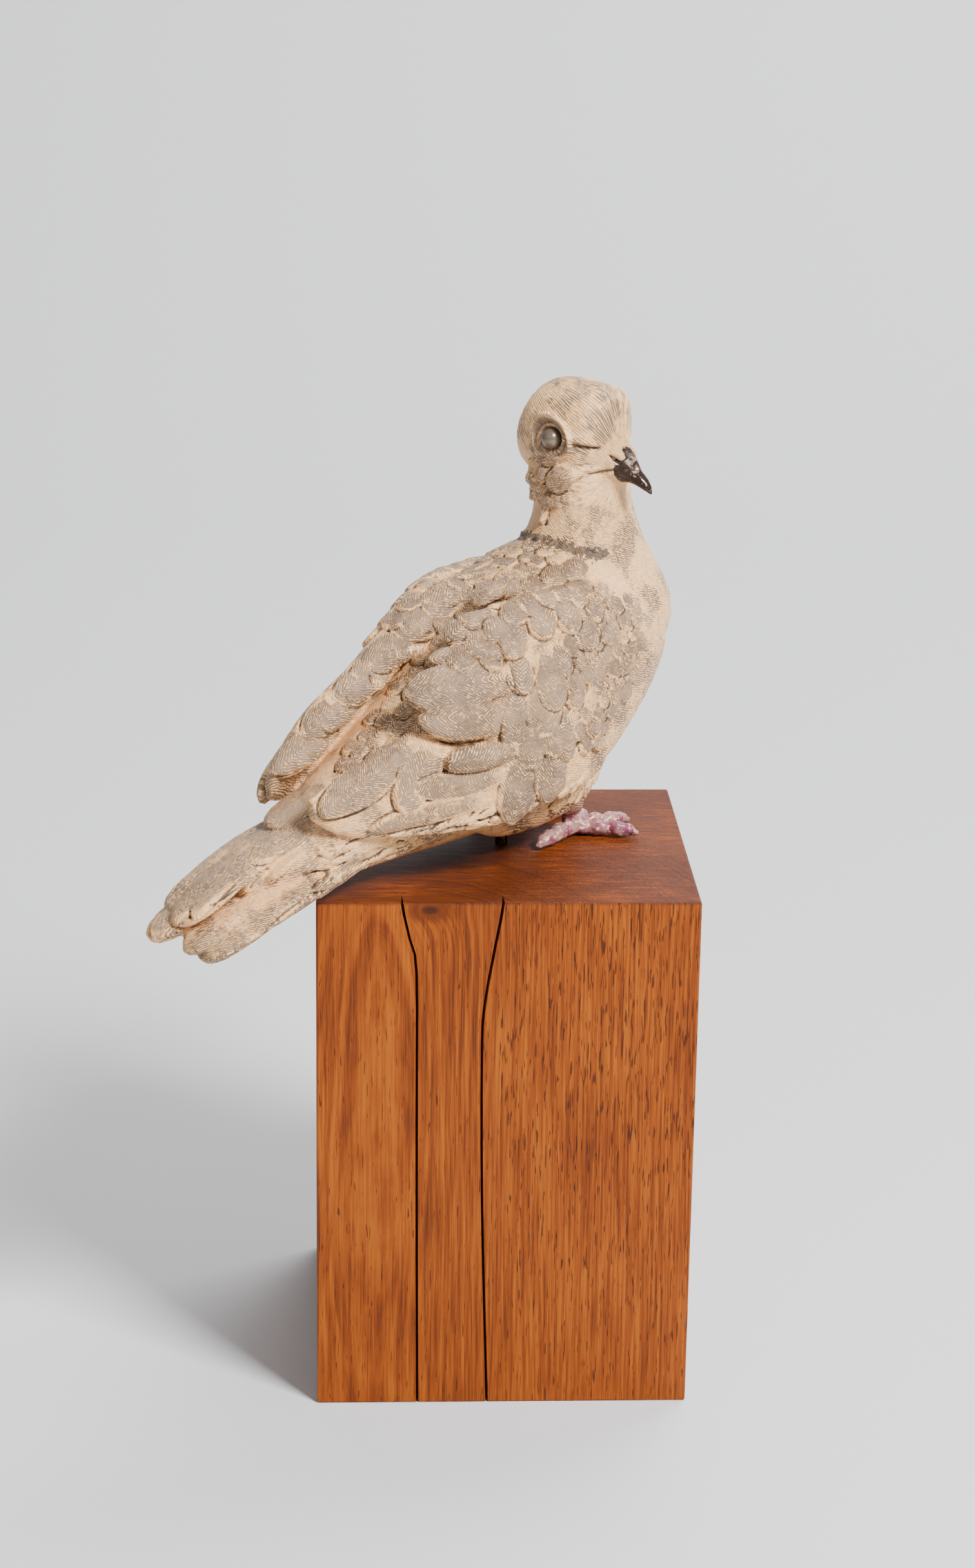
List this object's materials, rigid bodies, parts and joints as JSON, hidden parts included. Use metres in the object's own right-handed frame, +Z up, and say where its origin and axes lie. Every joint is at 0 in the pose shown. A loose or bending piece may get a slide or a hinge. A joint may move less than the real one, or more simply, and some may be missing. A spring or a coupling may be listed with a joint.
{
  "type": "dove statue",
  "caption": "Life-size painted bronze dove standing on an upright wooden block, looking back over its shoulder, its folded wings and tail reaching past the block.",
  "frame": {"origin": "middle of the wooden block's underside", "axes": "+Z up; -Y is the block's front face, the one with the two shakes; the dove's breast points between +X and +Y, 40 degrees from +X"},
  "size_m": [0.1856, 0.1573, 0.3482],
  "materials": {
    "painted_bronze": "matt cream and grey-brown paint rubbed over cast feathers",
    "oiled_wood": "oiled, open-grained, with two drying shakes",
    "dark_bronze": "dark bronze, bare"
  },
  "bodies": {
    "root": {"dove": "painted_bronze", "plinth": "oiled_wood", "support_rod": "dark_bronze"}
  },
  "joints": []
}
